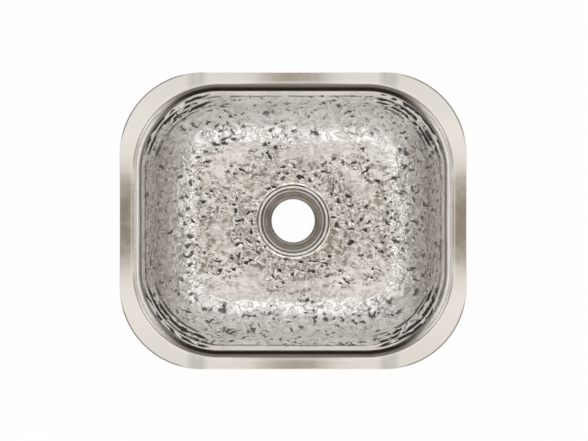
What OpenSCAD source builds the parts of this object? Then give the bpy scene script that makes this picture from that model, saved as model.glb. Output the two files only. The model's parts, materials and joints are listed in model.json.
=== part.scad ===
// Rectangular undermount bowl, pressed from one stainless sheet, with swing-out fixing plates.
// Millimetres, +Z up. The origin is the centre of the flange's top face, which is the face that
// the underside of the countertop rests on.

/* [Bowl] */
// Length of the mouth between the left and right walls
mouth_l = 326; // [300:1:420]
// Width of the mouth between the front and back walls
mouth_w = 276; // [250:1:380]
// Plan radius of the mouth's corners
mouth_r = 85; // [75:1:105]
// Depth from the flange's top face to the flat of the floor
bowl_depth = 165; // [140:1:220]
// Slope of the walls away from upright, in degrees
wall_draft = 4; // [1:0.5:7]
// Radius between the walls and the floor
floor_fillet_r = 42; // [25:1:50]
// Thickness of the steel sheet
sheet = 1.2; // [0.8:0.1:1.5]

/* [Flange] */
// Width of the rim beside the left and right walls
side_rim_w = 21; // [20:0.5:30]
// Width of the rim beside the front and back walls
front_rim_w = 19.5; // [18.5:0.5:30]
// Plan radius of the flange's outer corners
flange_r = 87; // [70:1:100]
// Radius of the rolled lip between the flange and the walls
lip_r = 8; // [6:0.5:8.5]

/* [Drain] */
// Radius of the dished part of the floor
dish_r = 72; // [60:1:74]
// Fall of the dish from its edge to the drain recess
dish_fall = 1.6; // [0.5:0.1:4]
// Radius of the drain hole
drain_hole_r = 25.4; // [20:0.1:28]
// Radius at the foot of the recess wall, where the flat of the seat ends
drain_seat_r = 36; // [35:0.5:45]
// Radius of the fillet between the seat and the recess wall
recess_fillet_r = 2; // [1:0.25:3]
// Radius of the shoulder between the recess wall and the dish
recess_shoulder_r = 2.25; // [2:0.25:3]
// Radius of the rolled edge between the seat and the drain hole
hole_roll_r = 2.6; // [2:0.1:3]
// Length of the straight neck below the rolled edge
hole_neck = 3; // [2:0.5:6]

/* [Fixings] */
// Distance from the flange's edge to the axis of a stud
stud_inset = 7; // [7:0.25:7.5]
// Distance from the bowl's centre line to the studs on the front and back rims
stud_spread = 75; // [60:1:90]
// Diameter of a stud
stud_d = 5; // [4:0.5:6]
// Length of a stud below its weld collar
stud_l = 12; // [11:0.5:16]
// Diameter of the weld collar at the root of a stud
collar_d = 8; // [7:0.5:10]
// Height of the weld collar
collar_h = 0.8; // [0.8:0.1:1.5]
// Width of a fixing plate
plate_w = 14; // [12:0.5:14]
// Distance from the stud to the screw hole of a fixing plate
plate_reach = 32; // [25:1:40]
// Thickness of a fixing plate
plate_t = 2; // [1.5:0.5:3]
// Diameter of the screw hole in a fixing plate
screw_hole_d = 5.5; // [4:0.5:6]
// Outer diameter of a washer
washer_d = 10; // [9:0.5:12]
// Thickness of a washer
washer_t = 1; // [0.8:0.1:1.5]
// Diameter of a wing nut's hub where it meets the washer
hub_d = 8.4; // [8:0.1:9.5]
// Height of a wing nut's hub
hub_h = 5; // [4:0.5:6]
// Narrowing of the hub's diameter from the washer to its free end
hub_taper = 1.2; // [0.5:0.1:1.5]
// Distance from tip to tip across the wings
wing_span = 21; // [18:0.5:21]
// Radius of the rounded end of a wing
wing_tip_r = 3.1; // [2.5:0.1:3.5]
// Height of a wing nut from the washer to the far edge of its wings
wing_h = 8.5; // [8:0.5:11]
// Thickness of a wing
wing_t = 1.8; // [1.5:0.1:2.5]
// Radial clearance of the plates and washers on the studs
pivot_clearance = 0.1; // [0.05:0.01:0.1]
// Radial clearance of the wing nuts' bores on the studs
thread_clearance = 0.05; // [0.02:0.01:0.08]

/* [Pads] */
// Thickness of the sound-deadening pads
pad_t = 3; // [2:0.5:5]
// Plan radius of the floor pads' corners
pad_corner_r = 8; // [4:1:12]
// Distance from a wall pad's ends to the ends of the straight wall
pad_end_margin = 12; // [4:1:20]
// Distance from a wall pad's top to the rolled lip
pad_top_margin = 20; // [14:1:30]
// Distance from a wall pad's bottom to the floor fillet
pad_bottom_margin = 12; // [4:1:20]
// Distance from the floor pads' outer edges to the floor fillet
pad_floor_margin = 5; // [3:1:12]
// Distance from the floor pads' round cut-out to the dish
pad_dish_margin = 4; // [2:1:10]
// Gap between the two floor pads
pad_gap = 60; // [20:1:70]

/* [Hidden] */
$fn = 96;
STEEL = "#c8c1b6";
ZINC = "#d3d6da";
RUBBER = "#3a3d40";

flange_l = mouth_l + 2 * side_rim_w;
flange_w = mouth_w + 2 * front_rim_w;

// The corners turn about vertical axes at these distances from the centre.
corner_x = mouth_l / 2 - mouth_r;
corner_y = mouth_w / 2 - mouth_r;

// Section of the wall: u runs outward from a corner's axis and z runs up. The wall stands in a frame
// that is centred on the rolled lip and leans with the draft, and its inner face is at -lip_r there.
// The section runs on into the flange, whose opening is larger than the lip by half of that run.
lip_u = mouth_r + lip_r;
flange_run = 4;
fillet_z = floor_fillet_r - bowl_depth;
wall_run = (floor_fillet_r * sin(wall_draft) - lip_r * (1 - sin(wall_draft)) - fillet_z)
    / cos(wall_draft);
fillet_u = lip_u - (lip_r + floor_fillet_r) * cos(wall_draft) - wall_run * sin(wall_draft);

// Section of the drain: r runs outward from the hole's axis.
recess_wall_r = drain_seat_r + recess_fillet_r;
shoulder_r = recess_wall_r + recess_shoulder_r;
shoulder_z = -bowl_depth - dish_fall;
seat_z = shoulder_z - recess_shoulder_r - recess_fillet_r;
hole_roll_end = drain_hole_r + hole_roll_r;
dish_overrun = 2;

// Stack of the fixings below the flange.
collar_z = -sheet;
plate_z = collar_z - collar_h;
washer_z = plate_z - plate_t;
nut_z = washer_z - washer_t;
pivot_hole_r = stud_d / 2 + pivot_clearance;
nut_bore_r = stud_d / 2 + thread_clearance;

// Each station: its name, the place of its stud, and the way that its plate points when stored.
stud_x = flange_l / 2 - stud_inset;
stud_y = flange_w / 2 - stud_inset;
STATIONS = [
    ["front_left", [-stud_spread, -stud_y], 0],
    ["front_right", [stud_spread, -stud_y], 180],
    ["back_left", [-stud_spread, stud_y], 0],
    ["back_right", [stud_spread, stud_y], 180],
    ["left", [-stud_x, -plate_reach / 2], 90],
    ["right", [stud_x, plate_reach / 2], 270],
];

// Each wall: its name, its turn from the back wall, its reach to the corner axes and its run.
WALLS = [
    ["back", 0, corner_y, 2 * corner_x],
    ["left", 90, corner_x, 2 * corner_y],
    ["front", 180, corner_y, 2 * corner_x],
    ["right", 270, corner_x, 2 * corner_y],
];
CORNERS = [[1, 1], [-1, 1], [-1, -1], [1, -1]];

// Quarter of a ring between two radii, from one angle on
module quarter_ring(inner_r, outer_r, from) {
    intersection() {
        difference() {
            circle(outer_r);
            circle(inner_r);
        }
        rotate(from) square(2 * outer_r);
    }
}

module rounded_rect(length, width, radius) {
    square([length - 2 * radius, width], center = true);
    square([length, width - 2 * radius], center = true);
    for (c = CORNERS)
        translate([c[0] * (length / 2 - radius), c[1] * (width / 2 - radius)]) circle(radius);
}

module leaning() {
    translate([lip_u, -lip_r]) rotate(-wall_draft) children();
}

// Section of the flange's inner edge, the rolled lip, the sloping wall, the floor fillet and the
// floor in to one distance
module wall_section(floor_end) {
    reach = lip_u - floor_end;
    translate([lip_u, -sheet]) square([flange_run, sheet]);
    intersection() {
        leaning() {
            quarter_ring(lip_r - sheet, lip_r, 90);
            translate([-lip_r, -wall_run]) square([sheet, wall_run]);
            translate([-lip_r - floor_fillet_r, -wall_run]) {
                intersection() {
                    quarter_ring(floor_fillet_r, floor_fillet_r + sheet, -90);
                    rotate(wall_draft) translate([0, -bowl_depth]) square(2 * bowl_depth);
                }
                rotate(wall_draft) translate([-reach, -floor_fillet_r - sheet])
                    square([reach, sheet]);
            }
        }
        translate([floor_end, -2 * bowl_depth]) square([reach, 2 * bowl_depth]);
    }
}

// Section of the recess's shoulder and fillet, its seat, and the rolled edge and neck of the hole
module drain_section() {
    translate([shoulder_r, shoulder_z - recess_shoulder_r])
        quarter_ring(recess_shoulder_r - sheet, recess_shoulder_r, 90);
    translate([drain_seat_r, seat_z + recess_fillet_r])
        quarter_ring(recess_fillet_r, recess_fillet_r + sheet, -90);
    translate([hole_roll_end, seat_z - sheet]) square([drain_seat_r - hole_roll_end, sheet]);
    translate([hole_roll_end, seat_z - hole_roll_r])
        quarter_ring(hole_roll_r - sheet, hole_roll_r, 90);
    translate([drain_hole_r, seat_z - hole_roll_r - hole_neck]) square([sheet, hole_neck]);
}

// Sweeps a wall section along one straight wall
module along_wall(wall, run) {
    rotate(wall[1]) translate([0, wall[2], 0])
        rotate([90, 0, 90]) linear_extrude(run, center = true) children();
}

module flange() {
    translate([0, 0, -sheet]) linear_extrude(sheet) difference() {
        rounded_rect(flange_l, flange_w, flange_r);
        rounded_rect(mouth_l + 2 * lip_r + flange_run, mouth_w + 2 * lip_r + flange_run,
            lip_u + flange_run / 2);
    }
}

// The walls and the floor, which the front and back walls' sections carry to the middle
module bowl() {
    for (wall = WALLS)
        along_wall(wall, wall[3]) wall_section(wall[2] == corner_y ? -corner_y : 0);
    for (i = [0:3])
        translate([CORNERS[i][0] * corner_x, CORNERS[i][1] * corner_y, 0])
            rotate(90 * i) rotate_extrude(angle = 90) wall_section(0);
}

// The space over the dish's top or underside, which ends a little way out above the floor's face
module over_dish(face_z) {
    rise = dish_overrun * dish_fall / (dish_r - shoulder_r);
    rotate_extrude() polygon([
        [0, face_z - dish_fall],
        [shoulder_r, face_z - dish_fall],
        [dish_r + dish_overrun, face_z + rise],
        [0, face_z + rise],
    ]);
}

// The drain's recess and hole
module drain() {
    rotate_extrude() drain_section();
}

module basin() {
    color(STEEL) {
        flange();
        difference() {
            union() {
                bowl();
                over_dish(-bowl_depth - sheet);
            }
            over_dish(-bowl_depth);
            translate([0, 0, seat_z]) cylinder(h = -seat_z, r = shoulder_r);
        }
        drain();
    }
}

// Puts a fixing under the flange at one station, with +X the way that the stored plate points
module at_station(station, z) {
    translate([station[1][0], station[1][1], z]) rotate(station[2]) children();
}

module stud(station) {
    chamfer = stud_d / 10;
    color(STEEL) at_station(station, collar_z) {
        translate([0, 0, -collar_h]) cylinder(h = collar_h, d = collar_d);
        translate([0, 0, -collar_h - stud_l + chamfer]) cylinder(h = stud_l - chamfer, d = stud_d);
        translate([0, 0, -collar_h - stud_l])
            cylinder(h = chamfer, d1 = stud_d - 2 * chamfer, d2 = stud_d);
    }
}

module plate(station) {
    color(ZINC) at_station(station, plate_z - plate_t) linear_extrude(plate_t) difference() {
        union() {
            circle(d = plate_w);
            translate([0, -plate_w / 2]) square([plate_reach, plate_w]);
            translate([plate_reach, 0]) circle(d = plate_w);
        }
        circle(pivot_hole_r);
        translate([plate_reach, 0]) circle(d = screw_hole_d);
    }
}

module washer(station) {
    color(ZINC) at_station(station, washer_z - washer_t) linear_extrude(washer_t) difference() {
        circle(d = washer_d);
        circle(pivot_hole_r);
    }
}

// Outline of one wing, with its root inside the hub and +Y toward the washer
module wing_outline() {
    tip = [wing_span / 2 - wing_tip_r, wing_tip_r - wing_h];
    translate(tip) circle(wing_tip_r);
    polygon([[0, -hub_h / 4], [tip[0], tip[1] + wing_tip_r], [tip[0], tip[1] - wing_tip_r], [0, -hub_h]]);
}

module wing_nut(station) {
    color(ZINC) at_station(station, nut_z) difference() {
        union() {
            translate([0, 0, -hub_h]) cylinder(h = hub_h, d1 = hub_d - hub_taper, d2 = hub_d);
            for (turn = [0, 180]) rotate([90, 0, turn])
                linear_extrude(wing_t, center = true) wing_outline();
        }
        translate([0, 0, -wing_h]) cylinder(h = 2 * wing_h, r = nut_bore_r);
    }
}

// A pad on the outer face of one wall, as steep as the wall
module wall_pad(wall) {
    height = wall_run - pad_bottom_margin - pad_top_margin;
    color(RUBBER) along_wall(wall, wall[3] - 2 * pad_end_margin)
        leaning() translate([sheet - lip_r, -pad_top_margin - height]) square([pad_t, height]);
}

// A pad under half of the floor, with a round cut-out beside the dish
module floor_pad(side) {
    length = 2 * (corner_x + fillet_u - pad_floor_margin);
    width = 2 * (corner_y + fillet_u - pad_floor_margin);
    color(RUBBER) translate([0, 0, -bowl_depth - sheet - pad_t]) linear_extrude(pad_t)
        difference() {
            rounded_rect(length, width, pad_corner_r);
            circle(dish_r + pad_dish_margin);
            translate([-side * length + side * pad_gap / 2, 0])
                square([2 * length, 2 * width], center = true);
        }
}

basin();
for (s = STATIONS) {
    stud(s);
    plate(s);
    washer(s);
    wing_nut(s);
}
for (w = WALLS) wall_pad(w);
floor_pad(-1);  // left_floor_pad
floor_pad(1);  // right_floor_pad
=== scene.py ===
"""A hammered steel undermount bowl with its fixings and pads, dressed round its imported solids."""

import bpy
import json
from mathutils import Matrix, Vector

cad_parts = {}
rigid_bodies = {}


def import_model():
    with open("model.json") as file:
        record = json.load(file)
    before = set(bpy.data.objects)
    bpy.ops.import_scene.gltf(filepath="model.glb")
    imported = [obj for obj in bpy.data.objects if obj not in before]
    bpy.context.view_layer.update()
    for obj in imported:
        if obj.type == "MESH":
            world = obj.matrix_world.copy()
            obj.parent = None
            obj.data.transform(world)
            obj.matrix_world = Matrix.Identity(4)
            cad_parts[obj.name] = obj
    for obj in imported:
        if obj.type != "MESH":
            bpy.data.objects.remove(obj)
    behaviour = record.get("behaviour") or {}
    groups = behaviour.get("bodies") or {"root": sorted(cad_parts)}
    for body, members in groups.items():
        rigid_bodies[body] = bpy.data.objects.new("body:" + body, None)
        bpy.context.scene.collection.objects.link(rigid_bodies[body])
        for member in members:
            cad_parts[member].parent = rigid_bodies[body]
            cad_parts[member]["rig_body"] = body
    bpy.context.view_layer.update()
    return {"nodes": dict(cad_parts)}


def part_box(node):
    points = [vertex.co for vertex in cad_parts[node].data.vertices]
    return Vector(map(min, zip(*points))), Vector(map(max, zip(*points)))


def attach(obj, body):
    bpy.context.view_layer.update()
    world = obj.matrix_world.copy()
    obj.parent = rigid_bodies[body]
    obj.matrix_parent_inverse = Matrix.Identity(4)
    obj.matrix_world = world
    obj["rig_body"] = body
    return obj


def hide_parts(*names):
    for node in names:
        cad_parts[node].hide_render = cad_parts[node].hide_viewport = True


bl_info = {
    "name": "Hammered Undermount Bowl",
    "version": (1, 0, 0),
    "blender": (4, 5, 0),
    "location": "View3D > Sidebar > Bowl",
    "description": "Models and finishes a hammered undermount bowl with its fixings and sound pads",
    "category": "Object",
}

import json
import math

import bmesh
import bpy
import numpy as np
from mathutils import Vector, noise

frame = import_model()

MM = 0.001

# Points within NEAR are taken for one place, and those within MERGE become one point
NEAR, MERGE = 1e-5, 1e-6

STATIONS = ("front_left", "front_right", "back_left", "back_right", "left", "right")
BASIN_LOW, BASIN_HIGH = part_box("basin")

# Edges on a round corner and on the straights of each loop round the bowl
ROUND, LONG_STRAIGHT, SHORT_STRAIGHT = 61, 70, 48
LOOP = 4 * ROUND + 2 * LONG_STRAIGHT + 2 * SHORT_STRAIGHT

# The ripples down the corners: depth of the first, distance between them, and how far they sway
RIPPLE_START, RIPPLE_PITCH, RIPPLE_SWAY = 0.016, 0.026, 2.2

# Radius of the drain's finish, depth of the painted shade line over the hammering, and how far
# from the middle the strips of the flange end
DRAIN_EDGE, HAMMER_LINE, STRIP_END = 0.0426, 0.0385, 0.097

# How far the camera stands from the middle, to the right and to the back
AIM = (0.95 * MM, 0.3 * MM)

# The second colour is the near-white of painted highlights and of places painted lighter
WHITE, PAINTED_LIGHT = (1.0, 1.0, 1.0), (1.0, 0.99, 0.97)


# Sizes and colours

def metres(name, description, default):
    """A length that a user can change."""
    return bpy.props.FloatProperty(name=name, description=description, default=default,
                                   unit="LENGTH")


def number(name, description, default):
    return bpy.props.FloatProperty(name=name, description=description, default=default)


def colour(name, description, default):
    return bpy.props.FloatVectorProperty(name=name, description=description, default=default,
                                         subtype="COLOR", size=3, min=0, max=1)


class BowlSizes(bpy.types.PropertyGroup):
    """Sizes of the pressed bowl, in metres."""

    length: metres("Length", "Length over the flange", BASIN_HIGH.x - BASIN_LOW.x)
    width: metres("Width", "Width over the flange", BASIN_HIGH.y - BASIN_LOW.y)
    flange_radius: metres("Flange Radius", "Plan radius of the flange's corners", 0.087)
    side_rim: metres("Side Rim", "Width of the rim beside the left and right walls", 0.021)
    front_rim: metres("Front Rim", "Width of the rim beside the front and back walls", 0.0195)
    mouth_radius: metres("Mouth Radius", "Plan radius of the mouth's corners", 0.085)
    lip_radius: metres("Lip Radius", "Radius of the rolled lip", 0.008)
    depth: metres("Depth", "Depth to the flat of the floor", 0.165)
    draft: bpy.props.FloatProperty(
        name="Draft", description="Slope of the walls away from upright", default=math.radians(4),
        subtype="ANGLE")
    fillet_radius: metres("Fillet Radius", "Radius between the walls and the floor", 0.042)
    sheet: metres("Sheet", "Thickness of the steel", 0.0012)
    smooth_band: metres("Smooth Band", "Height of the smooth wall above the hammering", 0.027)
    dish_radius: metres("Dish Radius", "Radius of the dished part of the floor", 0.072)
    dish_fall: metres("Dish Fall", "Fall of the dish towards the drain", 0.0016)
    seat_radius: metres("Seat Radius", "Radius of the flat of the drain's seat", 0.036)
    recess_fillet: metres("Recess Fillet", "Radius at the foot of the drain's recess", 0.002)
    shoulder: metres("Shoulder", "Radius of the shoulder above the recess", 0.00225)
    hole_radius: metres("Hole Radius", "Radius of the drain hole", 0.0254)
    hole_roll: metres("Hole Roll", "Radius of the rolled edge of the hole", 0.0026)


class HammerSizes(bpy.types.PropertyGroup):
    """Sizes of the hammered marks, in metres."""

    swell: metres("Swell", "Depth of the broad swells", 0.0015)
    swell_size: metres("Swell Size", "Size of the broad swells", 0.016)
    pit: metres("Pit", "Depth of the scattered pits", 0.0004)
    pit_size: metres("Pit Size", "Spacing of the scattered pits", 0.0085)
    dimple: metres("Dimple", "Depth of the small dimples", 0.0004)
    dimple_size: metres("Dimple Size", "Size of the small dimples", 0.007)
    ripple: metres("Ripple", "Depth of the drawn ripples in the corners", 0.0018)


class FinishColours(bpy.types.PropertyGroup):
    """Colours of the finishes."""

    steel: colour("Steel", "Warm stainless steel", (0.80, 0.755, 0.695))
    zinc: colour("Zinc", "Bright zinc plate on the fixings", (0.72, 0.74, 0.77))
    rubber: colour("Rubber", "Dark grey rubber of the pads", (0.052, 0.055, 0.06))


class StudioSettings(bpy.types.PropertyGroup):
    """The floor, the lamps and the camera."""

    camera_height: metres("Camera Height", "Height of the camera above the rim", 1.5)
    lens: bpy.props.FloatProperty(
        name="Lens", description="Focal length in millimetres on a 36 mm sensor",
        default=86.6, unit="CAMERA")
    ceiling_height: metres("Ceiling Height", "Height of the lit ceiling above the rim", 1.52)
    ceiling_side: metres("Ceiling Side", "Side of the lit ceiling", 7.0)
    glow: number("Glow", "Brightness of the softboxes, where 1 is white", 1.05)
    bar_across: number("Bar Across", "Brightness between the front and back softboxes", 0.31)
    bar_along: number("Bar Along", "Brightness between the left and right softboxes", 0.47)
    bank_start: metres("Bank Start", "Distance of the outer strips of light from the middle", 0.56)
    bank_pitch: metres("Bank Pitch", "Distance from one outer strip of light to the next", 0.42)
    dim_light: colour("Dim Light", "Warm light from the unlit parts of the ceiling",
                      (1.0, 0.87, 0.73))
    room: number("Room", "Brightness of the room beyond the ceiling", 0.5)
    backdrop: colour("Backdrop", "Pale floor and backdrop", (0.9, 0.9, 0.9))


# Modelling by hand, in code

def clear_selection():
    if bpy.context.object and bpy.context.object.mode != "OBJECT":
        bpy.ops.object.mode_set(mode="OBJECT")
    bpy.ops.object.select_all(action="DESELECT")


def take(piece):
    """Makes one piece the selected and active one."""
    clear_selection()
    piece.select_set(True)
    bpy.context.view_layer.objects.active = piece


def named(piece, name):
    piece.name = name
    piece.data.name = name
    return piece


def edit(piece, kind="VERT"):
    """Opens one piece for editing, with all of it selected."""
    take(piece)
    bpy.ops.object.mode_set(mode="EDIT")
    bpy.ops.mesh.select_mode(type=kind)
    select_all()


def select_all():
    bpy.ops.mesh.select_all(action="SELECT")


def merge(distance=MERGE):
    """In edit mode, makes one point of those that lie together."""
    select_all()
    bpy.ops.mesh.remove_doubles(threshold=distance)


def done():
    """Closes the piece that is open for editing, and gives it back."""
    bpy.ops.object.mode_set(mode="OBJECT")
    return bpy.context.object


def pick(piece, kind, wanted):
    """In edit mode, selects the vertices, edges or faces that a test on them wants."""
    mesh = bmesh.from_edit_mesh(piece.data)
    bpy.ops.mesh.select_all(action="DESELECT")
    found = [part for part in getattr(mesh, kind) if wanted(part)]
    for part in found:
        part.select_set(True)
    mesh.select_flush(True)
    bmesh.update_edit_mesh(piece.data)
    return len(found)


def settle():
    """Puts the active piece's place and size into its mesh."""
    bpy.ops.object.transform_apply(location=True, rotation=True, scale=True)


def add_modifier(piece, kind, **settings):
    made = piece.modifiers.new(kind.title(), kind)
    for name, value in settings.items():
        setattr(made, name, value)


def apply_modifiers(piece):
    take(piece)
    for modifier in list(piece.modifiers):
        bpy.ops.object.modifier_apply(modifier=modifier.name)


def join(pieces, name):
    clear_selection()
    for piece in pieces:
        piece.select_set(True)
    bpy.context.view_layer.objects.active = pieces[0]
    bpy.ops.object.join()
    return named(bpy.context.object, name)


def draw_line(points):
    """A line of edges through points in the XZ plane, drawn by extruding its end."""
    clear_selection()
    bpy.ops.mesh.primitive_plane_add(size=1)
    edit(bpy.context.object)
    bpy.ops.mesh.merge(type="CENTER")
    x, z = points[0]
    bpy.ops.transform.translate(value=(x, 0, z))
    for (x0, z0), (x1, z1) in zip(points, points[1:]):
        bpy.ops.mesh.extrude_vertices_move(
            TRANSFORM_OT_translate={"value": (x1 - x0, 0, z1 - z0)})
    return done()


def turned(points, steps, name):
    """A closed shape turned from a line about the Z axis."""
    edit(draw_line(points))
    bpy.ops.mesh.spin(steps=steps, angle=2 * math.pi, center=(0, 0, 0), axis=(0, 0, 1))
    merge()
    bpy.ops.mesh.normals_make_consistent(inside=False)
    return named(done(), name)


def arc(centre, radius, start, end, steps):
    """Points on an arc in the XZ plane, angles in degrees, without its first point."""
    angles = [math.radians(start + (end - start) * i / steps) for i in range(1, steps + 1)]
    return [(centre[0] + radius * math.cos(a), centre[1] + radius * math.sin(a))
            for a in angles]


def straight(start, end, steps):
    return [(start[0] + (end[0] - start[0]) * i / steps,
             start[1] + (end[1] - start[1]) * i / steps) for i in range(1, steps + 1)]


def rounded_plate(length, width, radius, height):
    """One flat face with rounded corners, whose edge has LOOP points."""
    clear_selection()
    bpy.ops.mesh.primitive_plane_add(size=1, location=(0, 0, height))
    plate = bpy.context.object
    plate.scale = (length, width, 1)
    settle()
    edit(plate)
    bpy.ops.mesh.bevel(offset=radius, offset_type="OFFSET", segments=ROUND, profile=0.5,
                       affect="VERTICES", clamp_overlap=False)
    bpy.ops.mesh.select_mode(type="EDGE")
    select_all()
    bpy.ops.mesh.delete(type="ONLY_FACE")
    for span, side, cuts in ((length, 0, LONG_STRAIGHT), (width, 1, SHORT_STRAIGHT)):
        run = span - 2 * radius
        pick(plate, "edges", lambda e: abs(e.calc_length() - run) < NEAR
             and abs(abs((e.verts[0].co - e.verts[1].co)[side]) - run) < NEAR)
        bpy.ops.mesh.subdivide(number_cuts=cuts - 1)
    select_all()
    bpy.ops.mesh.edge_face_add()
    face_up(plate)
    return done()


def round_plate(radius, height):
    clear_selection()
    bpy.ops.mesh.primitive_circle_add(vertices=LOOP, radius=radius, fill_type="NGON",
                                      location=(0, 0, height))
    plate = bpy.context.object
    settle()
    edit(plate)
    face_up(plate)
    return done()


def face_up(plate):
    bpy.ops.mesh.select_mode(type="FACE")
    select_all()
    if bmesh.from_edit_mesh(plate.data).faces[:][0].normal.z < 0:
        bpy.ops.mesh.flip_normals()


def press(plate, profile):
    """Presses a flat face down a profile of (distance from the corners' axes, height), by insets
    that keep every corner round about its axis, and opens its last face."""
    edit(plate, "FACE")
    for (u0, z0), (u1, z1) in zip(profile, profile[1:]):
        if u0 == u1:
            bpy.ops.mesh.extrude_region_move(TRANSFORM_OT_translate={"value": (0, 0, z1 - z0)})
        else:
            bpy.ops.mesh.inset(thickness=u0 - u1, depth=z1 - z0, use_even_offset=True)
    pick(plate, "faces", lambda face: len(face.verts) > 4)
    bpy.ops.mesh.delete(type="ONLY_FACE")
    return done()


def bridge(piece, height, cuts=0):
    """Joins the two open loops that a piece has at one height, with faces between them."""
    edit(piece, "EDGE")
    found = pick(piece, "edges", lambda e: e.is_boundary
                 and all(abs(v.co.z - height) < NEAR for v in e.verts))
    if found != 2 * LOOP:
        raise RuntimeError("the loops to bridge aren't whole")
    bpy.ops.mesh.bridge_edge_loops(number_cuts=cuts, interpolation="LINEAR",
                                   profile_shape_factor=0)
    return done()


def paint(piece, name, weights):
    """A vertex group with a weight for every point, in steps of a hundredth."""
    group = piece.vertex_groups.new(name=name)
    weights = np.round(weights, 2)
    for level in np.unique(weights):
        if level > 0:
            found = np.nonzero(np.abs(weights - level) < MERGE)[0]
            group.add([int(i) for i in found], float(level), "REPLACE")


def store(piece, name, values):
    """An attribute with a value for every point, for the finish to read."""
    made = piece.data.attributes.new(name, "FLOAT", "POINT")
    made.data.foreach_set("value", values.astype(np.float32))


def read(parts, name):
    """One row of three numbers for each of a mesh's points or faces."""
    found = np.zeros(len(parts) * 3)
    parts.foreach_get(name, found)
    return found.reshape(-1, 3)


def ramp(values, low, high):
    """0 below low, 1 above high, with a smooth rise between them."""
    share = np.clip((values - low) / (high - low), 0, 1)
    return share * share * (3 - 2 * share)


def bell(values, middle, reach):
    """1 at the middle, with a smooth fall on both sides of it."""
    return np.exp(-((values - middle) / reach) ** 2)


# Finishes

class Value:
    """A value in a finish, which shader maths is written with."""

    def __init__(self, finish, socket):
        self.finish = finish
        self.socket = socket

    def maths(self, operation, *others):
        return self.finish.node("ShaderNodeMath", {"operation": operation},
                                dict(enumerate((self, *others))))

    def reflected(self, operation, other):
        return self.finish.node("ShaderNodeMath", {"operation": operation}, {0: other, 1: self})

    def __add__(self, other):
        return self.maths("ADD", other)

    def __sub__(self, other):
        return self.maths("SUBTRACT", other)

    def __rsub__(self, other):
        return self.reflected("SUBTRACT", other)

    def __mul__(self, other):
        return self.maths("MULTIPLY", other)

    def __truediv__(self, other):
        return self.maths("DIVIDE", other)

    def __rtruediv__(self, other):
        return self.reflected("DIVIDE", other)

    def __pow__(self, other):
        return self.maths("POWER", other)

    def __neg__(self):
        return self.maths("MULTIPLY", -1)

    __radd__ = __add__
    __rmul__ = __mul__

    def size(self):
        return self.maths("ABSOLUTE")

    def between(self, low, high, bottom=0.0, top=1.0):
        """Rises smoothly from bottom to top while the value goes from low to high."""
        return self.finish.node(
            "ShaderNodeMapRange", {"interpolation_type": "SMOOTHSTEP"},
            {"Value": self, "From Min": low, "From Max": high, "To Min": bottom, "To Max": top})

    def most(self, other):
        return self.maths("MAXIMUM", other)

    def least(self, other):
        return self.maths("MINIMUM", other)


class Tree:
    """A tree of shader nodes that is being made."""

    def __init__(self, tree):
        self.nodes = tree.nodes
        self.links = tree.links

    def node(self, kind, settings=None, inputs=None, output=0):
        """Adds a node: its settings first, then the values or links of its sockets."""
        made = self.nodes.new(kind)
        for name, value in (settings or {}).items():
            setattr(made, name, value)
        for key, value in (inputs or {}).items():
            self.feed(made.inputs[key], value)
        return Value(self, made.outputs[output])

    def feed(self, socket, value):
        if isinstance(value, Value):
            self.links.new(value.socket, socket)
        elif socket.type == "RGBA" and len(value) == 3:
            socket.default_value = (*value, 1)
        else:
            socket.default_value = value

    def place(self):
        return self.node("ShaderNodeTexCoord", output="Object")

    def axes(self):
        apart = self.node("ShaderNodeSeparateXYZ", None, {"Vector": self.place()})
        return [Value(self, apart.socket.node.outputs[i]) for i in range(3)]

    def stored(self, name):
        """A value that the mesh keeps for each of its points."""
        return self.node("ShaderNodeAttribute", {"attribute_name": name}, output=2)

    def stretched(self, scale, place=None, move=(0.0, 0.0, 0.0)):
        return self.node("ShaderNodeMapping", None,
                         {"Vector": place or self.place(), "Scale": scale, "Location": move})

    def cloud(self, scale, detail=2.0, roughness=0.5, place=None):
        return self.node("ShaderNodeTexNoise", None,
                         {"Vector": place or self.place(), "Scale": scale, "Detail": detail,
                          "Roughness": roughness})

    def warp(self, scale, reach, stretch=(1.0, 1.0, 1.0)):
        """Places moved about at random by up to half the reach, after a stretch."""
        place = self.stretched(stretch)
        moves = self.node("ShaderNodeTexNoise", None,
                          {"Vector": place, "Scale": scale, "Detail": 1.0}, 1)
        return self.node("ShaderNodeVectorMath", {"operation": "MULTIPLY_ADD"},
                         {0: moves, 1: (reach,) * 3, 2: place})

    def cells(self, scale, feature="F1", **inputs):
        return self.node("ShaderNodeTexVoronoi", {"feature": feature},
                         {"Vector": self.place(), "Scale": scale, **inputs})

    def blend(self, share, first, second):
        """Colour first where share is 0 and second where it is 1."""
        return self.node("ShaderNodeMix", {"data_type": "RGBA"},
                         {0: share, 6: first, 7: second}, 2)

    def bump(self, height, depth, strength=1.0):
        return self.node("ShaderNodeBump", None,
                         {"Height": height, "Distance": depth, "Strength": strength})


class Finish(Tree):
    """A material that is being made."""

    def __init__(self, name):
        self.material = bpy.data.materials.new(name)
        self.material.use_nodes = True
        super().__init__(self.material.node_tree)
        self.nodes.clear()
        self.output = self.nodes.new("ShaderNodeOutputMaterial")

    def show(self, shader):
        """Gives the material its surface."""
        self.links.new(shader.socket, self.output.inputs["Surface"])
        return self.material

    def surface(self, **sockets):
        """A usual surface. Names of sockets have underscores for spaces."""
        return self.show(self.node("ShaderNodeBsdfPrincipled", None, {
            name.replace("_", " "): value for name, value in sockets.items()}))


def shade(colour, factor):
    """A colour made darker or lighter."""
    return tuple(min(1.0, c * factor) for c in colour)


def mouth_axes(sizes):
    """Where the upright axis of each round corner of the mouth stands, in x and in y."""
    return (sizes.length / 2 - sizes.side_rim - sizes.mouth_radius,
            sizes.width / 2 - sizes.front_rim - sizes.mouth_radius)


def past(x, y, axes):
    """How far a place lies beyond a corner's axis, in x and in y, and straight out from it."""
    cx = (x.size() - axes[0]).most(0.0)
    cy = (y.size() - axes[1]).most(0.0)
    return cx, cy, (cx * cx + cy * cy) ** 0.5


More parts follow.
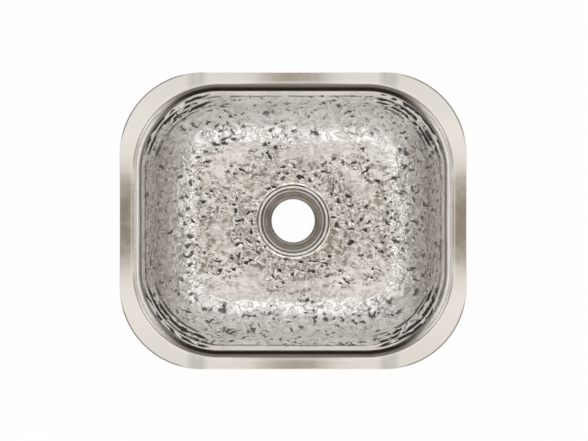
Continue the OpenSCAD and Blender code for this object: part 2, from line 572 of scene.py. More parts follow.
def around(x, y):
    """The distance from a corner's axis, and how far that way faces the front or the back."""
    _, cy, out = past(x, y, mouth_axes(bpy.context.scene.bowl_sizes))
    return out, cy / (out + NEAR)


def painted_ripple_reflections(f, depth, corner):
    """Ragged painted dark reflections across the corners, in step with the ripples in the mesh."""
    ragged = f.cloud(130, 1.0) - 0.5
    crease = ((depth - RIPPLE_START) * (2 * math.pi / RIPPLE_PITCH)
              + f.stored("sway") * RIPPLE_SWAY + ragged * 2.2 - 0.9).maths("COSINE")
    painted_ripple_dark = crease.between(0.15, 0.5) * corner * depth.between(0.011, 0.016)
    return painted_ripple_dark * (f.cloud(80, 1.0) + ragged * 0.3).between(0.42, 0.47)


def hammered_steel(steel):
    """The bowl's inside: bright steel, painted lighter on the walls and the corners and painted
    darker on the left and right walls, with pits that have a painted dark reflection and a painted
    glint where the sheet is worked, a painted shade line and fine streaks with painted dark
    reflection on the walls, a painted shadow below the lip, and painted dark reflections on the
    ripples in the corners."""
    f = Finish("hammered_steel")
    x, y, z = f.axes()
    depth = -z
    out, facing = around(x, y)
    radius = (x * x + y * y) ** 0.5
    worked = f.stored("worked")

    # Places: all below the smooth band, the walls, the front and back ones, the side ones, the
    # lower half of the walls, and the corners
    where = depth.between(0.032, 0.036) * radius.between(DRAIN_EDGE + 0.0002, DRAIN_EDGE + 0.0024)
    up = out.between(0.03, 0.05)
    across = up * facing.between(0.35, 0.8)
    side = up - across
    fold = depth.between(0.08, 0.125) * depth.between(0.152, 0.164, 1.0, 0.0)
    corner = facing.between(0.1, 0.35) * facing.between(0.975, 0.998, 1.0, 0.0)
    corner = corner * up * depth.between(0.09, 0.12, 1.0, 0.0)

    # Marks: pits with a painted dark reflection and a painted glint, nicks, hair lines and streaks
    stain = f.cloud(14, 3.0, 0.6)
    squat = (0.93, 1.08, 0.7)
    warped = f.warp(90, 0.008, (1.0, 1.0, 0.5))
    dents = f.cloud(160, 1.0, 0.5, f.stretched(squat, warped))
    beside = f.cloud(160, 1.0, 0.5, f.stretched(squat, warped, (0.0009, 0.0013, 0.0005)))
    steep = dents.between(0.55, 0.66) * worked
    core = dents.between(0.62, 0.665) * worked
    painted_glint = beside.between(0.6, 0.65) * worked * (1 - core)
    nicks = f.cloud(260, 1.0, 0.5, f.stretched((0.95, 1.05, 1.0), warped)).between(0.62, 0.72)
    nicks = nicks * worked
    hair = (f.cloud(120, 1.0, 0.5, warped) - 0.5).size().between(0.01, 0.03, 1.0, 0.0)
    hair = hair * f.cloud(90, 1.0).between(0.5, 0.58) * worked
    soft = f.cloud(60, 1.0, 0.5, warped)
    streaks = f.cloud(150, 1.0, 0.5, warped).between(0.42, 0.64) * up * where

    # Painted dark places: the shadow below the lip, the shade along the line where the hammering
    # starts, and the dark reflections in the marks
    # Painted shadow below the lip, on the left and right walls and round the corners
    collar = depth.between(0.005, 0.008) * depth.between(0.014, 0.019, 1.0, 0.0)
    collar = collar * facing.between(0.8, 0.99, 0.9, 0.0)
    line = depth - HAMMER_LINE - f.cloud(30, 1.0) * 0.006
    line = line.size().between(0.002, 0.0065, 1.0, 0.0)
    line = line * f.cloud(45, 2.0).between(0.38, 0.48) * up
    # Painted dark reflections in the cores of the pits, the nicks and the hair lines
    painted_pit_dark = core * (1 - up * 0.15)
    dark = painted_pit_dark.most(nicks.between(0.5, 0.9) * 0.7 * (1 - up * 0.5)).most(hair * 0.6) * where
    # All the painted dark: the marks, the reflections on the corner ripples and the shadow below
    # the lip
    painted_dark = dark.most(painted_ripple_reflections(f, depth, corner)).most(collar * 0.8)

    tone = f.blend(stain.between(0.3, 0.7), shade(steel, 0.84), shade(steel, 0.9))
    # Painted light and shade: the walls lighter, the left and right walls darker and the corners
    # lighter
    tone = f.blend(up, tone, (1.0, 0.985, 0.96))
    tone = f.blend(side * 0.9, tone, (0.9, 0.865, 0.825))
    tone = f.blend(corner * 0.8, tone, PAINTED_LIGHT)
    # Painted dark reflection along the streaks on the walls
    tone = f.blend(streaks * (0.4 + side * 0.2), tone, (0.55, 0.515, 0.475))
    # Painted glint on the bright side of each pit
    tone = f.blend(painted_glint * where * 0.9, tone, PAINTED_LIGHT)
    # Painted shade along the line where the hammering starts
    tone = f.blend(line * 0.95, tone, (0.17, 0.15, 0.13))
    tone = f.blend(painted_dark, tone, (0.035, 0.028, 0.022))
    metal = 1.0 - up * 0.15 - across * 0.25 - fold * (0.4 - side * 0.2) - corner * 0.35
    height = (steep * -1.5 + nicks * -0.2 + soft * 0.8) * where + streaks * -1.2
    return f.surface(
        Base_Color=tone, Metallic=metal.most(0.0) * (1 - painted_dark),
        Roughness=stain.between(0.3, 0.75, 0.09, 0.14) + up * 0.06 + across * 0.14 + painted_dark * 0.5,
        Normal=f.bump(height, 0.0007))


def rim_steel(steel):
    """The flange: lightly brushed and scuffed, painted darker at the front and the back, with a
    painted dark edge round its corners, a line where each strip of its front and back ends, and a
    painted dark band beside that line."""
    f = Finish("rim_steel")
    sizes = bpy.context.scene.bowl_sizes
    x, y, _ = f.axes()
    hair = f.cloud(1.0, 3.0, 0.65, f.stretched((90, 2600, 90)))
    scuff = f.cloud(55, 4.0, 0.7)
    line = (x.size() - STRIP_END).size().between(0.0003, 0.0013, 1.0, 0.0)
    facing = around(x, y)[1]
    cx, cy, out = past(x, y, (sizes.length / 2 - sizes.flange_radius,
                              sizes.width / 2 - sizes.flange_radius))
    # A painted dark edge round the flange's corners
    edge = out.between(sizes.flange_radius - 0.0017, sizes.flange_radius - 0.0011)
    edge = edge * cx.least(cy).between(0.008, 0.03)
    # A painted dark band beside the line, at the front and the back
    painted_band = (x.size() - STRIP_END - 0.005).size().between(0.004, 0.014, 1.0, 0.0)
    painted_band = painted_band * facing.between(0.6, 0.95)
    tone = f.blend(scuff.between(0.35, 0.7), shade(steel, 0.94), shade(steel, 1.01))
    # Painted shade: the front and the back darker
    tone = f.blend(facing.between(0.3, 0.9), tone, shade(steel, 0.87))
    tone = f.blend(painted_band * scuff.between(0.3, 0.7, 0.6, 0.85), tone, shade(steel, 0.6))
    tone = f.blend(line * 0.35, tone, shade(steel, 0.6))
    tone = f.blend(edge * 0.75, tone, (0.1, 0.09, 0.08))
    return f.surface(
        Base_Color=tone, Metallic=1.0,
        Roughness=scuff.between(0.3, 0.75, 0.07, 0.12) + hair.between(0.3, 0.7, 0.0, 0.03),
        Normal=f.bump(hair * 0.6 + line * -1.0, 0.000006, 0.6))


def lip_steel(steel):
    """The rolled lip: bright steel with a painted highlight band, a painted dark foot, and painted
    shadow at the front and the back.
    """
    f = Finish("lip_steel")
    x, y, _ = f.axes()
    scuff = f.cloud(55, 4.0, 0.7)
    out, facing = around(x, y)
    rise = out - bpy.context.scene.bowl_sizes.mouth_radius
    shadow = facing.between(0.5, 0.95) * rise.between(0.0062, 0.0076, 1.0, 0.0)
    # A painted dark foot, where the lip meets the wall
    foot = rise.between(0.0002, 0.0008, 1.0, 0.0) * scuff.between(0.3, 0.6, 0.3, 0.5)
    # A painted highlight band along the lip
    glow = (rise - 0.0018).size().between(0.0007, 0.0018, 1.0, 0.0) * (1 - shadow)
    tone = f.blend(scuff.between(0.35, 0.7), shade(steel, 0.97), shade(steel, 1.02))
    tone = f.blend(foot * (1 - shadow), tone, (0.22, 0.19, 0.16))
    tone = f.blend(glow * 0.9, tone, PAINTED_LIGHT)
    # Painted shadow: darkest a little above the lip's foot, lighter towards the flange
    painted_shadow_tone = f.blend(rise.between(0.0003, 0.0016), (0.2, 0.176, 0.15), (0.025, 0.02, 0.015))
    painted_shadow_tone = f.blend(rise.between(0.0026, 0.0055), painted_shadow_tone, (0.14, 0.123, 0.107))
    tone = f.blend(shadow, tone, painted_shadow_tone)
    return f.surface(Base_Color=tone, Metallic=1.0 - glow * 0.6,
                     # The dark specular tint is painted shade on the lip's grazing reflections
                     Specular_Tint=(0.3, 0.27, 0.23, 1.0),
                     Roughness=scuff.between(0.3, 0.75, 0.07, 0.12) + shadow * 0.1,
                     Normal=f.bump(scuff, 0.00001, 0.5))


def drain_steel(steel):
    """The drain's seat and rolled edge, turned bright, painted darker than the steel for the dark
    it reflects, with a painted highlight ring on the shoulder between two painted dark rings, and a
    painted dark roll at the hole."""
    f = Finish("drain_steel")
    x, y, z = f.axes()
    radius = (x * x + y * y) ** 0.5
    past_seat = radius - bpy.context.scene.bowl_sizes.seat_radius
    rings = f.cloud(1.0, 2.0, 0.6, f.node(
        "ShaderNodeCombineXYZ", None, {"X": radius * 2200, "Y": z * 2200, "Z": 0.0}))
    smear = f.cloud(60, 3.0, 0.6)
    # A painted highlight ring on the shoulder
    painted_band = past_seat.between(0.0022, 0.0027) * past_seat.between(0.0042, 0.0047, 1.0, 0.0)
    painted_band = painted_band * smear.between(0.3, 0.6, 0.75, 1.0)
    # Two painted dark rings beside the shoulder, and a painted dark roll at the hole
    painted_dark_rings = (past_seat - 0.0007).size().between(0.0004, 0.0013, 1.0, 0.0)
    painted_dark_rings = painted_dark_rings.most((past_seat - 0.0058).size().between(0.0003, 0.0011, 0.75, 0.0))
    roll = past_seat.between(-0.0072, -0.0054, 1.0, 0.0)
    # The steel painted darker, for the dark that the seat reflects
    tone = f.blend(smear.between(0.35, 0.7), shade(steel, 0.66), shade(steel, 0.75))
    tone = f.blend(roll.most(painted_dark_rings) * 0.8, tone, (0.16, 0.14, 0.12))
    tone = f.blend(painted_band, tone, (0.98, 0.97, 0.95))
    return f.surface(Base_Color=tone, Metallic=1.0 - painted_band * 0.85,
                     Roughness=smear.between(0.3, 0.7, 0.07, 0.11) + painted_band * 0.2,
                     Normal=f.bump(rings, 0.00001, 0.5))


def outside_steel(steel):
    """The bowl's outside: the same sheet, left dull, with faint upright marks from drawing."""
    f = Finish("outside_steel")
    grain = f.cloud(900, 3.0, 0.6)
    stain = f.cloud(18, 4.0, 0.6)
    drawn = f.cloud(1.0, 2.0, 0.6, f.stretched((700, 700, 5)))
    tone = f.blend(stain.between(0.3, 0.7), shade(steel, 0.62), shade(steel, 0.76))
    tone = f.blend(drawn.between(0.35, 0.7) * 0.16, tone, shade(steel, 0.42))
    return f.surface(Base_Color=tone, Metallic=1.0,
                     Roughness=stain.between(0.3, 0.75, 0.24, 0.36) + drawn * 0.06,
                     Normal=f.bump(grain + drawn * 0.5, 0.00002, 0.5))


def weld_steel(steel):
    """The studs and their welds, with a faint straw tint near the weld."""
    f = Finish("weld_steel")
    heat = f.axes()[2].between(-0.0045, -0.0018)
    speckle = f.cloud(700, 3.0, 0.6)
    tone = f.blend(heat * speckle.between(0.3, 0.7, 0.5, 1.0), shade(steel, 0.92),
                   (0.52, 0.41, 0.27))
    return f.surface(Base_Color=tone, Metallic=1.0,
                     Roughness=speckle.between(0.3, 0.7, 0.22, 0.36),
                     Normal=f.bump(speckle, 0.00004, 0.5))


def zinc_plate(zinc):
    """Zinc plate: fine spangle, with slightly dull patches."""
    f = Finish("zinc_plate")
    spangle = f.cells(380)
    patch = f.cloud(120, 4.0, 0.65)
    tone = f.blend(spangle.between(0.1, 0.8), shade(zinc, 0.88), shade(zinc, 1.04))
    tone = f.blend(patch.between(0.55, 0.75, 0.0, 0.5), tone, (0.58, 0.58, 0.56))
    return f.surface(Base_Color=tone, Metallic=1.0,
                     Roughness=patch.between(0.3, 0.7, 0.24, 0.42),
                     Normal=f.bump(spangle + patch, 0.00001, 0.3))


def pad_rubber(rubber):
    """Moulded rubber: a fine pebble with dusty patches."""
    f = Finish("pad_rubber")
    pebble = f.cells(900, "SMOOTH_F1", Smoothness=0.5)
    dust = f.cloud(45, 5.0, 0.65)
    tone = f.blend(dust.between(0.4, 0.75), rubber, shade(rubber, 1.9))
    tone = f.blend(pebble.between(0.2, 0.7, 0.0, 0.25), tone, shade(rubber, 0.5))
    return f.surface(Base_Color=tone, Roughness=dust.between(0.3, 0.7, 0.62, 0.82),
                     Normal=f.bump(pebble, 0.0002, 0.7))


MAKERS = {"hammered": hammered_steel, "rim": rim_steel, "lip": lip_steel, "drain": drain_steel,
          "outside": outside_steel, "weld": weld_steel, "zinc": zinc_plate, "rubber": pad_rubber}
FINISHES = {}


def finish(name):
    """Each finish, made once, from its own colour or else from the steel's."""
    if name not in FINISHES:
        colours = bpy.context.scene.bowl_colours
        FINISHES[name] = MAKERS[name](tuple(getattr(colours, name, colours.steel)))
    return FINISHES[name]


def coat(piece, *names):
    """Gives a piece its finishes, in the order of their slots."""
    piece.data.materials.clear()
    for name in names:
        piece.data.materials.append(finish(name))


# The basin

class Section:
    """The bowl's profile as (distance from a corner's axis, height), for one skin of the sheet."""

    def __init__(self, sizes, skin):
        self.s = sizes
        self.skin = skin
        self.lip_u = sizes.mouth_radius + sizes.lip_radius
        lean = sizes.draft
        foot = sizes.fillet_radius - sizes.depth
        self.run = (sizes.fillet_radius * math.sin(lean)
                    - sizes.lip_radius * (1 - math.sin(lean)) - foot) / math.cos(lean)

    def leaning(self, x, y):
        """A point in the frame that is centred on the lip and leans with the wall."""
        c, s = math.cos(self.s.draft), math.sin(self.s.draft)
        return self.lip_u + x * c + y * s, -self.s.lip_radius - x * s + y * c

    def wall(self, lip_steps, stations, fillet_steps):
        """The lip, the wall at the stated shares of its run, and the floor fillet."""
        s, lean = self.s, math.degrees(self.s.draft)
        roll = s.lip_radius - self.skin
        points = [(self.lip_u, roll - s.lip_radius)]
        points += arc((self.lip_u, -s.lip_radius), roll, 90, 180 - lean, lip_steps)
        points += [self.leaning(-roll, -share * self.run) for share in stations]
        centre = self.leaning(-s.lip_radius - s.fillet_radius, -self.run)
        points += arc(centre, s.fillet_radius + self.skin, -lean, -90, fillet_steps)
        return points

    def drain(self, dish_steps, roll_steps):
        """The dish, the shoulder, the recess, the seat, the hole's roll and its neck."""
        s, skin = self.s, self.skin
        wall_r = s.seat_radius + s.recess_fillet
        shoulder_r = wall_r + s.shoulder
        shoulder_z = -s.depth - s.dish_fall
        seat_z = shoulder_z - s.shoulder - s.recess_fillet
        roll_r = s.hole_radius + s.hole_roll
        points = [(s.dish_radius, -s.depth - skin)]
        points += straight(points[-1], (shoulder_r, shoulder_z - skin), dish_steps)
        points += arc((shoulder_r, shoulder_z - s.shoulder), s.shoulder - skin, 90, 180,
                      roll_steps)
        points += arc((s.seat_radius, seat_z + s.recess_fillet), s.recess_fillet + skin, 0, -90,
                      roll_steps)
        points += straight(points[-1], (roll_r, seat_z - skin), 3)
        points += arc((roll_r, seat_z - s.hole_roll), s.hole_roll - skin, 90, 180, roll_steps)
        points.append((points[-1][0], BASIN_LOW.z))
        return points


def skin_of_bowl(sizes, skin, counts):
    """One skin of the sheet, from the middle of the flange's edge to the end of the drain's neck,
    facing up."""
    section = Section(sizes, skin)
    half, edge = sizes.sheet / 2, 0.3 * MM
    side = -1 if skin < half else 1
    flange = rounded_plate(sizes.length, sizes.width, sizes.flange_radius, -half)
    press(flange, [(edge, -half)] + [(u, -half - side * (half - rise)) for u, rise in (
        (edge, edge), (0.3 * edge, 0.3 * edge), (0, 0), (-edge, 0))])
    profile = section.wall(counts["lip"], counts["wall"], counts["fillet"])
    wall = press(rounded_plate(sizes.length - 2 * (sizes.side_rim - sizes.lip_radius),
                               sizes.width - 2 * (sizes.front_rim - sizes.lip_radius),
                               section.lip_u, profile[0][1]), profile)
    profile = section.drain(counts["dish"], counts["roll"])
    drain = press(round_plate(sizes.dish_radius, profile[0][1]), profile)
    bowl = join([flange, wall, drain], "bowl_skin")
    bridge(bowl, -skin, counts["flange"])
    bridge(bowl, -sizes.depth - skin, counts["floor"])
    return bowl


def beyond(x, y, axes):
    """How far places lie beyond a corner's axis, in x and in y."""
    return [np.clip(np.abs(place) - axis, 0, None) for place, axis in zip((x, y), axes)]


def marks(kind, size, stops=None, **settings):
    """A pattern of marks for a Displace modifier."""
    made = bpy.data.textures.new(kind.lower(), kind)
    made.noise_scale = size
    for name, value in settings.items():
        setattr(made, name, value)
    if stops:
        made.use_color_ramp = True
        ramp_stops = made.color_ramp.elements
        while len(ramp_stops) < len(stops):
            ramp_stops.new(0.5)
        for stop, (place, level) in zip(ramp_stops, stops):
            stop.position = place
            stop.color = (level, level, level, 1)
    return made


def worked_share(co, floor):
    """How heavily each place is worked: in patches, and most on the walls, along the middle of
    the floor, at the walls' foot, and in a band across the front and back walls."""
    x, y, z = co.T
    patches = np.array([noise.noise(Vector(p) * 30 + Vector((3, 7, 1))) for p in co])
    patches += 0.22 * floor * bell(y, 0, 0.042) + 0.2 * bell(z, -0.14, 0.012)
    patches += 0.2 * (1 - floor)
    patches += 0.35 * bell(x, 0, 0.05) * bell(z, -0.085, 0.012)
    return 0.08 + 0.92 * ramp(patches, -0.16, 0.12)


def hammer(piece, sizes, beaten):
    """Beats the marks into the inside, and the broad ones through to the outside."""
    co, normals = read(piece.data.vertices, "co"), read(piece.data.vertices, "normal")
    x, y, z = co.T
    out_x, out_y = beyond(x, y, mouth_axes(sizes))
    outward = np.stack([np.sign(x) * out_x, np.sign(y) * out_y, np.zeros(len(x))], 1)
    outward /= np.maximum(np.linalg.norm(outward, axis=1, keepdims=True), 1e-9)
    inner = ((normals[:, 2] > 0.5) | ((normals * outward).sum(1) < -0.3)).astype(float)
    start = sizes.lip_radius + sizes.smooth_band
    body = ramp(-z, start, start + 0.003) * ramp(np.hypot(x, y), 0.0412, 0.0445)
    floor = ramp(-z, sizes.depth - 0.035, sizes.depth - 0.002)
    busy = worked_share(co, floor)
    turn = np.arctan2(out_y, np.maximum(out_x, 1e-9))
    in_corner = ramp(turn, 0.08, 0.4) * (1 - ramp(turn, 1.3, 1.53))
    in_corner *= ramp(-z, 0.014, 0.022) * (1 - ramp(-z, 0.095, 0.122))
    sway = np.array([noise.noise(Vector(p) * 22 + Vector((5, 1, 9))) for p in co])
    wave = 0.5 - 0.5 * np.cos(2 * np.pi * (-z - RIPPLE_START) / RIPPLE_PITCH + RIPPLE_SWAY * sway)
    store(piece, "worked", busy)
    store(piece, "sway", sway)
    perlin = {"noise_basis": "ORIGINAL_PERLIN"}
    swell = marks("CLOUDS", beaten.swell_size, noise_depth=1, **perlin)
    pits = marks("VORONOI", beaten.pit_size, [(0.0, 0.0), (0.05, 0.35), (0.12, 0.85), (0.2, 1.0)],
                 distance_metric="DISTANCE_SQUARED")
    dimples = marks("CLOUDS", beaten.dimple_size, noise_depth=0, **perlin)
    swells = body * (1 - 0.55 * floor)
    bpy.ops.object.empty_add(type="PLAIN_AXES")
    tall = bpy.context.object
    tall.scale = (1, 1, 2)
    for group, weights, texture, strength, level in (
            ("swell", swells * inner, swell, beaten.swell, 0.5),
            ("swell_outside", swells * (1 - inner), swell, -beaten.swell, 0.5),
            ("pits", body * inner * busy * (0.35 + 0.65 * floor), pits, beaten.pit, 1.0),
            ("dimples", body * inner * busy * (0.5 + 0.5 * floor), dimples, beaten.dimple, 0.5)):
        paint(piece, group, weights)
        add_modifier(piece, "DISPLACE", texture=texture, strength=strength, mid_level=level,
                     vertex_group=group, texture_coords="OBJECT", texture_coords_object=tall,
                     direction="NORMAL")
    paint(piece, "ripples", wave * in_corner * inner)
    add_modifier(piece, "DISPLACE", strength=beaten.ripple, mid_level=0, vertex_group="ripples",
                 direction="NORMAL")
    apply_modifiers(piece)
    piece.vertex_groups.clear()
    bpy.data.objects.remove(tall)


BASIN_FINISHES = ("rim", "hammered", "drain", "outside", "lip")


class BOWL_OT_basin(bpy.types.Operator):
    """Model the pressed and hammered basin"""

    bl_idname = "bowl.basin"
    bl_label = "Hammered Basin"

    def execute(self, context):
        sizes = context.scene.bowl_sizes
        band = sizes.smooth_band / Section(sizes, 0).run
        steps = [band * (i + 1) / 6 for i in range(6)]
        steps += [band + (1 - band) * (i + 1) / 40 for i in range(40)]
        inner = skin_of_bowl(sizes, 0, {"lip": 8, "wall": steps, "fillet": 36, "flange": 2,
                                        "dish": 24, "roll": 4, "floor": 22})
        steps = [(i + 1) / 11 for i in range(11)]
        outer = skin_of_bowl(sizes, sizes.sheet, {"lip": 4, "wall": steps, "fillet": 8,
                                                  "flange": 0, "dish": 2, "roll": 3, "floor": 1})
        edit(outer, "FACE")
        bpy.ops.mesh.flip_normals()
        done()
        basin = join([inner, outer], "hammered_basin")
        edit(basin)
        merge(2 * MERGE)
        done()
        bridge(basin, BASIN_LOW.z)
        hammer(basin, sizes, context.scene.bowl_hammer)
        coat(basin, *BASIN_FINISHES)
        self.share_out(basin.data, sizes)
        take(basin)
        bpy.ops.object.shade_smooth_by_angle(angle=math.radians(50))
        check_closed(basin)
        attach(basin, "bowl")
        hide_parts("basin")
        return {"FINISHED"}

    def share_out(self, mesh, sizes):
        """Gives each face the finish of its place."""
        x, y, z = read(mesh.polygons, "center").T
        face_x, face_y, face_z = read(mesh.polygons, "normal").T
        drain = (np.hypot(x, y) < DRAIN_EDGE) & (z < -sizes.depth)
        under = np.where(np.abs(face_z) > 0.35, face_z < 0, face_x * x + face_y * y > 0)
        top = z > -sizes.lip_radius
        rolled = np.hypot(*beyond(x, y, mouth_axes(sizes))) < sizes.mouth_radius + sizes.lip_radius
        slot = BASIN_FINISHES.index
        slots = np.select([under & ~drain, drain, top & rolled, top],
                          [slot("outside"), slot("drain"), slot("lip"), slot("rim")],
                          slot("hammered"))
        mesh.polygons.foreach_set("material_index", slots.astype(np.int32))
        mesh.update()


def check_closed(piece):
    """Raises an error if the piece's mesh has an open or shared edge."""
    mesh = bmesh.new()
    mesh.from_mesh(piece.data)
    loose = sum(not e.is_manifold for e in mesh.edges)
    mesh.free()
    if loose:
        raise RuntimeError(f"{piece.name} has {loose} edges that aren't closed")


# The fixings and the pads

def copy_of_node(node, name):
    """A merged copy of a solid's mesh, ready for its edges to be softened."""
    source = frame["nodes"][node]
    piece = bpy.data.objects.new(name, source.data.copy())
    bpy.context.scene.collection.objects.link(piece)
    edit(named(piece, name))
    merge()
    bpy.ops.mesh.dissolve_limited(angle_limit=math.radians(1))
    done()
    piece.vertex_groups.clear()
    return piece


def soften(piece, width, angle=35):
    """Rounds every edge that turns by more than the angle."""
    add_modifier(piece, "BEVEL", width=width, segments=2, limit_method="ANGLE",
                 angle_limit=math.radians(angle), harden_normals=False)
    apply_modifiers(piece)
    bpy.ops.object.shade_smooth_by_angle(angle=math.radians(angle))


def dress(piece, node):
    """Puts a piece in the place of its solid, on the body that the solid rides on."""
    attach(piece, frame["nodes"][node]["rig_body"])
    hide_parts(node)


class BOWL_OT_studs(bpy.types.Operator):
    """Model the threaded studs with their weld beads"""

    bl_idname = "bowl.studs"
    bl_label = "Threaded Studs"

    def execute(self, context):
        low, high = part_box("front_left_stud")
        first = self.stud(high.z, low.z)
        for station in STATIONS:
            low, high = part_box(f"{station}_stud")
            piece = first.copy()
            piece.data = first.data.copy()
            context.scene.collection.objects.link(piece)
            take(named(piece, f"{station}_threaded_stud"))
            piece.location = ((low.x + high.x) / 2, (low.y + high.y) / 2, 0)
            settle()
            coat(piece, "weld")
            dress(piece, f"{station}_stud")
        bpy.data.objects.remove(first)
        return {"FINISHED"}

    def stud(self, top, foot):
        """A helical thread, cut to length, ended by a chamfer and rooted in a weld bead."""
        pitch, crest, root = 0.8 * MM, 2.5 * MM, 2.05 * MM
        flat, chamfer, sunk = 0.06 * MM, 0.5 * MM, 0.3 * MM
        collar, collar_r = 0.8 * MM, 4 * MM
        turns = math.ceil((top - foot) / pitch) + 2
        tooth = draw_line([(root, 0), (root, 0.1 * pitch), (crest, 0.5 * pitch - flat),
                           (crest, 0.5 * pitch + flat), (root, 0.9 * pitch), (root, pitch)])
        add_modifier(tooth, "SCREW", axis="Z", angle=2 * math.pi, screw_offset=pitch,
                     iterations=turns, steps=32, render_steps=32, use_merge_vertices=True,
                     merge_threshold=MERGE)
        apply_modifiers(tooth)
        tooth.location = (0, 0, foot - pitch)
        take(tooth)
        settle()
        edit(tooth)
        merge()
        for height, upper in ((foot, False), (top - sunk, True)):
            select_all()
            bpy.ops.mesh.bisect(plane_co=(0, 0, height), plane_no=(0, 0, 1), use_fill=True,
                                clear_outer=upper, clear_inner=not upper)
        select_all()
        bpy.ops.mesh.normals_make_consistent(inside=False)
        done()
        gauge = turned([(0, top + pitch), (crest + pitch, top + pitch),
                        (crest + pitch, foot + chamfer + pitch), (crest - chamfer, foot),
                        (0, foot)], 48, "gauge")
        add_modifier(tooth, "BOOLEAN", operation="INTERSECT", object=gauge, solver="EXACT")
        apply_modifiers(tooth)
        bpy.data.objects.remove(gauge)
        bead = turned([(0, top), (collar_r, top), (collar_r - 0.05 * MM, top - 0.25 * MM),
                       (collar_r - 0.5 * MM, top - 0.5 * MM), (crest + 0.35 * MM, top - 0.68 * MM),
                       (crest, top - collar), (0, top - collar)], 48, "bead")
        piece = join([tooth, bead], "stud")
        bpy.ops.object.shade_smooth_by_angle(angle=math.radians(38))
        return piece


class BOWL_OT_fixings(bpy.types.Operator):
    """Model the fixing plates, washers and wing nuts"""

    bl_idname = "bowl.fixings"
    bl_label = "Plates, Washers and Wing Nuts"

    def execute(self, context):
        for station in STATIONS:
            for kind, width in (("plate", 0.35), ("washer", 0.15), ("wing_nut", 0.4)):
                node = f"{station}_{kind}"
                piece = copy_of_node(node, f"{station}_zinc_{kind}")
                soften(piece, width * MM)
                coat(piece, "zinc")
                dress(piece, node)
        return {"FINISHED"}


class BOWL_OT_pads(bpy.types.Operator):
    """Model the sound pads on the walls and under the floor"""

    bl_idname = "bowl.pads"
    bl_label = "Sound Pads"

    def execute(self, context):
        walls = {"back_wall_pad": (0, 1), "front_wall_pad": (0, -1),
                 "left_wall_pad": (-1, 0), "right_wall_pad": (1, 0)}
        for node, (across, along) in walls.items():
            self.pad(node, Vector((across, along, -0.07)).normalized(), 5)
        for node in ("left_floor_pad", "right_floor_pad"):
            self.pad(node, Vector((0, 0, -1)), 2.5)
        return {"FINISHED"}

    def pad(self, node, facing, rim):
        """A moulded pad, with a shallow panel pressed into its free face."""
        piece = copy_of_node(node, node.replace("_pad", "_rubber_pad"))
        edit(piece, "FACE")
        pick(piece, "faces", lambda face: face.normal.dot(facing) > 0.99)
        bpy.ops.mesh.inset(thickness=rim * MM, depth=0, use_even_offset=True)
        bpy.ops.mesh.inset(thickness=0.5 * MM, depth=-0.5 * MM, use_even_offset=True)
        done()
        soften(piece, 0.5 * MM, 30)
        coat(piece, "rubber")
        dress(piece, node)


# The studio

def seen_by_eye(f):
    """1 for light that goes to the camera, straight or by way of a reflection or glass."""
    path = f.node("ShaderNodeLightPath").socket.node.outputs
    seen = [Value(f, path[f"Is {kind} Ray"]) for kind in ("Camera", "Glossy", "Transmission")]
    return seen[0].most(seen[1]).most(seen[2])


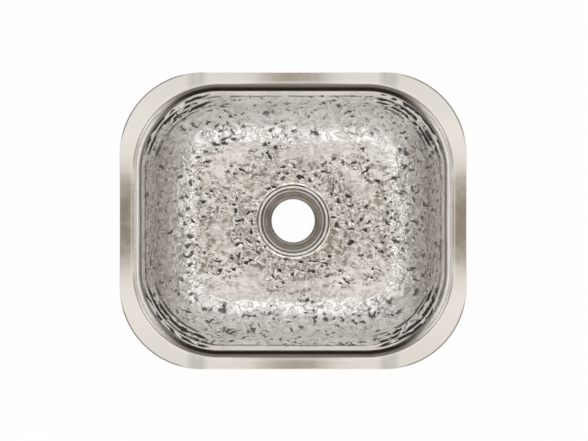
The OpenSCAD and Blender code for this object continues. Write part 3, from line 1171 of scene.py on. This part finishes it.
class BOWL_OT_studio(bpy.types.Operator):
    """Set up the pale sweep, the four softboxes and the camera"""

    bl_idname = "bowl.studio"
    bl_label = "Studio"

    def execute(self, context):
        studio = context.scene.bowl_studio
        self.sweep(studio)
        self.ceiling(studio)
        self.room(context, studio)
        camera = bpy.data.cameras.new("camera")
        camera.lens = studio.lens
        camera.sensor_width = 36
        camera.clip_end = 50
        holder = bpy.data.objects.new("camera", camera)
        holder.location = (*AIM, studio.camera_height)
        context.scene.collection.objects.link(holder)
        context.scene.camera = holder
        context.scene.view_settings.view_transform = "Standard"
        return {"FINISHED"}

    def sweep(self, studio):
        """A round floor that curves up into a wall."""
        floor, radius, cove, height = BASIN_LOW.z - 0.0002, 5.0, 0.8, 2.2
        line = [(0.0, floor), (0.5, floor), (1.5, floor), (radius - cove, floor)]
        line += arc((radius - cove, floor + cove), cove, -90, 0, 8)
        line.append((radius, height))
        shape = turned(line, 64, "studio_sweep")
        edit(shape)
        mesh = bmesh.from_edit_mesh(shape.data)
        if min(mesh.faces, key=lambda face: face.calc_center_median().length).normal.z < 0:
            bpy.ops.mesh.flip_normals()
        done()
        bpy.ops.object.shade_smooth()
        f = Finish("studio_sweep")
        shadow_share = 0.035
        mottle = f.cloud(3)
        tone = f.blend(mottle, tuple(studio.backdrop), shade(studio.backdrop, 0.985))
        matt = f.node("ShaderNodeBsdfDiffuse", None, {"Color": tone})
        white = f.node("ShaderNodeEmission", None, {"Color": WHITE, "Strength": 1.0})
        clear = f.node("ShaderNodeBsdfTransparent")
        lit = seen_by_eye(f) * (1 - shadow_share)
        shown = f.node("ShaderNodeMixShader", None, {0: lit, 1: matt, 2: white})
        behind = Value(f, f.node("ShaderNodeNewGeometry").socket.node.outputs["Backfacing"])
        whole_floor = f.node("ShaderNodeMixShader", None, {0: behind, 1: shown, 2: clear})
        shape.data.materials.append(f.show(whole_floor))

    def ceiling(self, studio):
        """A lit ceiling: a softbox over each quarter of the bowl, a dim cross between them, and
        strips of light further out."""
        clear_selection()
        bpy.ops.mesh.primitive_plane_add(size=studio.ceiling_side,
                                         location=(0, 0, studio.ceiling_height))
        ceiling = named(bpy.context.object, "studio_ceiling")
        f = Finish("studio_ceiling")
        x, y, _ = f.axes()
        ax, ay = x.size(), y.size()
        radius = (x * x + y * y) ** 0.5
        centre = (radius.between(0.075, 0.13, 0.7 * studio.bar_across, 0.8)
                  + radius.between(0.12, 0.24, 0.0, 0.35) - radius.between(0.25, 0.3, 0.0, 0.15))
        cross = ax.between(0.052, 0.082, studio.bar_along, 1.0)
        cross = cross * ay.between(0.075, 0.118, studio.bar_across, 1.0)
        cross = cross.most(radius.between(0.17, 0.27, 1.0, 0.0)) * centre
        out = ax.most(ay)
        wave = ((out - studio.bank_start) * (2 * math.pi / studio.bank_pitch)).maths("SINE")
        strips = wave.between(-0.5, 0.3, 0.1, 2.4)
        share = out.between(studio.bank_start - 0.06, studio.bank_start + 0.1)
        level = cross * (1 - share) + strips * share * (ay - ax).between(-0.2, 0.2, 0.5, 1.0)
        level = level * out.between(2.6, 3.3, 1.0, 0.2)
        warmth = f.blend(level.between(0.2, 0.95), tuple(studio.dim_light), WHITE)
        lit = f.node("ShaderNodeEmission", None,
                     {"Color": warmth, "Strength": level * studio.glow})
        ceiling.data.materials.append(f.show(lit))
        ceiling.visible_camera = False

    def room(self, context, studio):
        """The dim warm light of a room, seen as white."""
        world = bpy.data.worlds.new("room")
        world.use_nodes = True
        sky = world.node_tree.nodes["Background"]
        sky.inputs["Strength"].default_value = 1.0
        f = Tree(world.node_tree)
        tone = f.blend(seen_by_eye(f), shade(studio.dim_light, studio.room), WHITE)
        f.feed(sky.inputs["Color"], tone)
        context.scene.world = world


class BOWL_PT_panel(bpy.types.Panel):
    """Lists the bowl's pieces"""

    bl_idname = "BOWL_PT_panel"
    bl_label = "Hammered Bowl"
    bl_space_type = "VIEW_3D"
    bl_region_type = "UI"
    bl_category = "Bowl"

    def draw(self, context):
        for operator in OPERATORS:
            self.layout.operator(operator.bl_idname)
        for group in SETTINGS:
            settings = getattr(context.scene, group)
            for name in settings.bl_rna.properties.keys():
                if name not in ("rna_type", "name"):
                    self.layout.prop(settings, name)


SETTINGS = {"bowl_sizes": BowlSizes, "bowl_hammer": HammerSizes, "bowl_colours": FinishColours,
            "bowl_studio": StudioSettings}
OPERATORS = (BOWL_OT_basin, BOWL_OT_studs, BOWL_OT_fixings, BOWL_OT_pads, BOWL_OT_studio)


def register():
    for kind in (*SETTINGS.values(), *OPERATORS, BOWL_PT_panel):
        bpy.utils.register_class(kind)
    for name, kind in SETTINGS.items():
        setattr(bpy.types.Scene, name, bpy.props.PointerProperty(type=kind))


def unregister():
    for name in SETTINGS:
        delattr(bpy.types.Scene, name)
    for kind in reversed((*SETTINGS.values(), *OPERATORS, BOWL_PT_panel)):
        bpy.utils.unregister_class(kind)


def main():
    """Makes every piece and the studio."""
    register()
    bpy.ops.bowl.basin()
    bpy.ops.bowl.studs()
    bpy.ops.bowl.fixings()
    bpy.ops.bowl.pads()
    bpy.ops.bowl.studio()
    clear_selection()


if __name__ == "__main__":
    main()
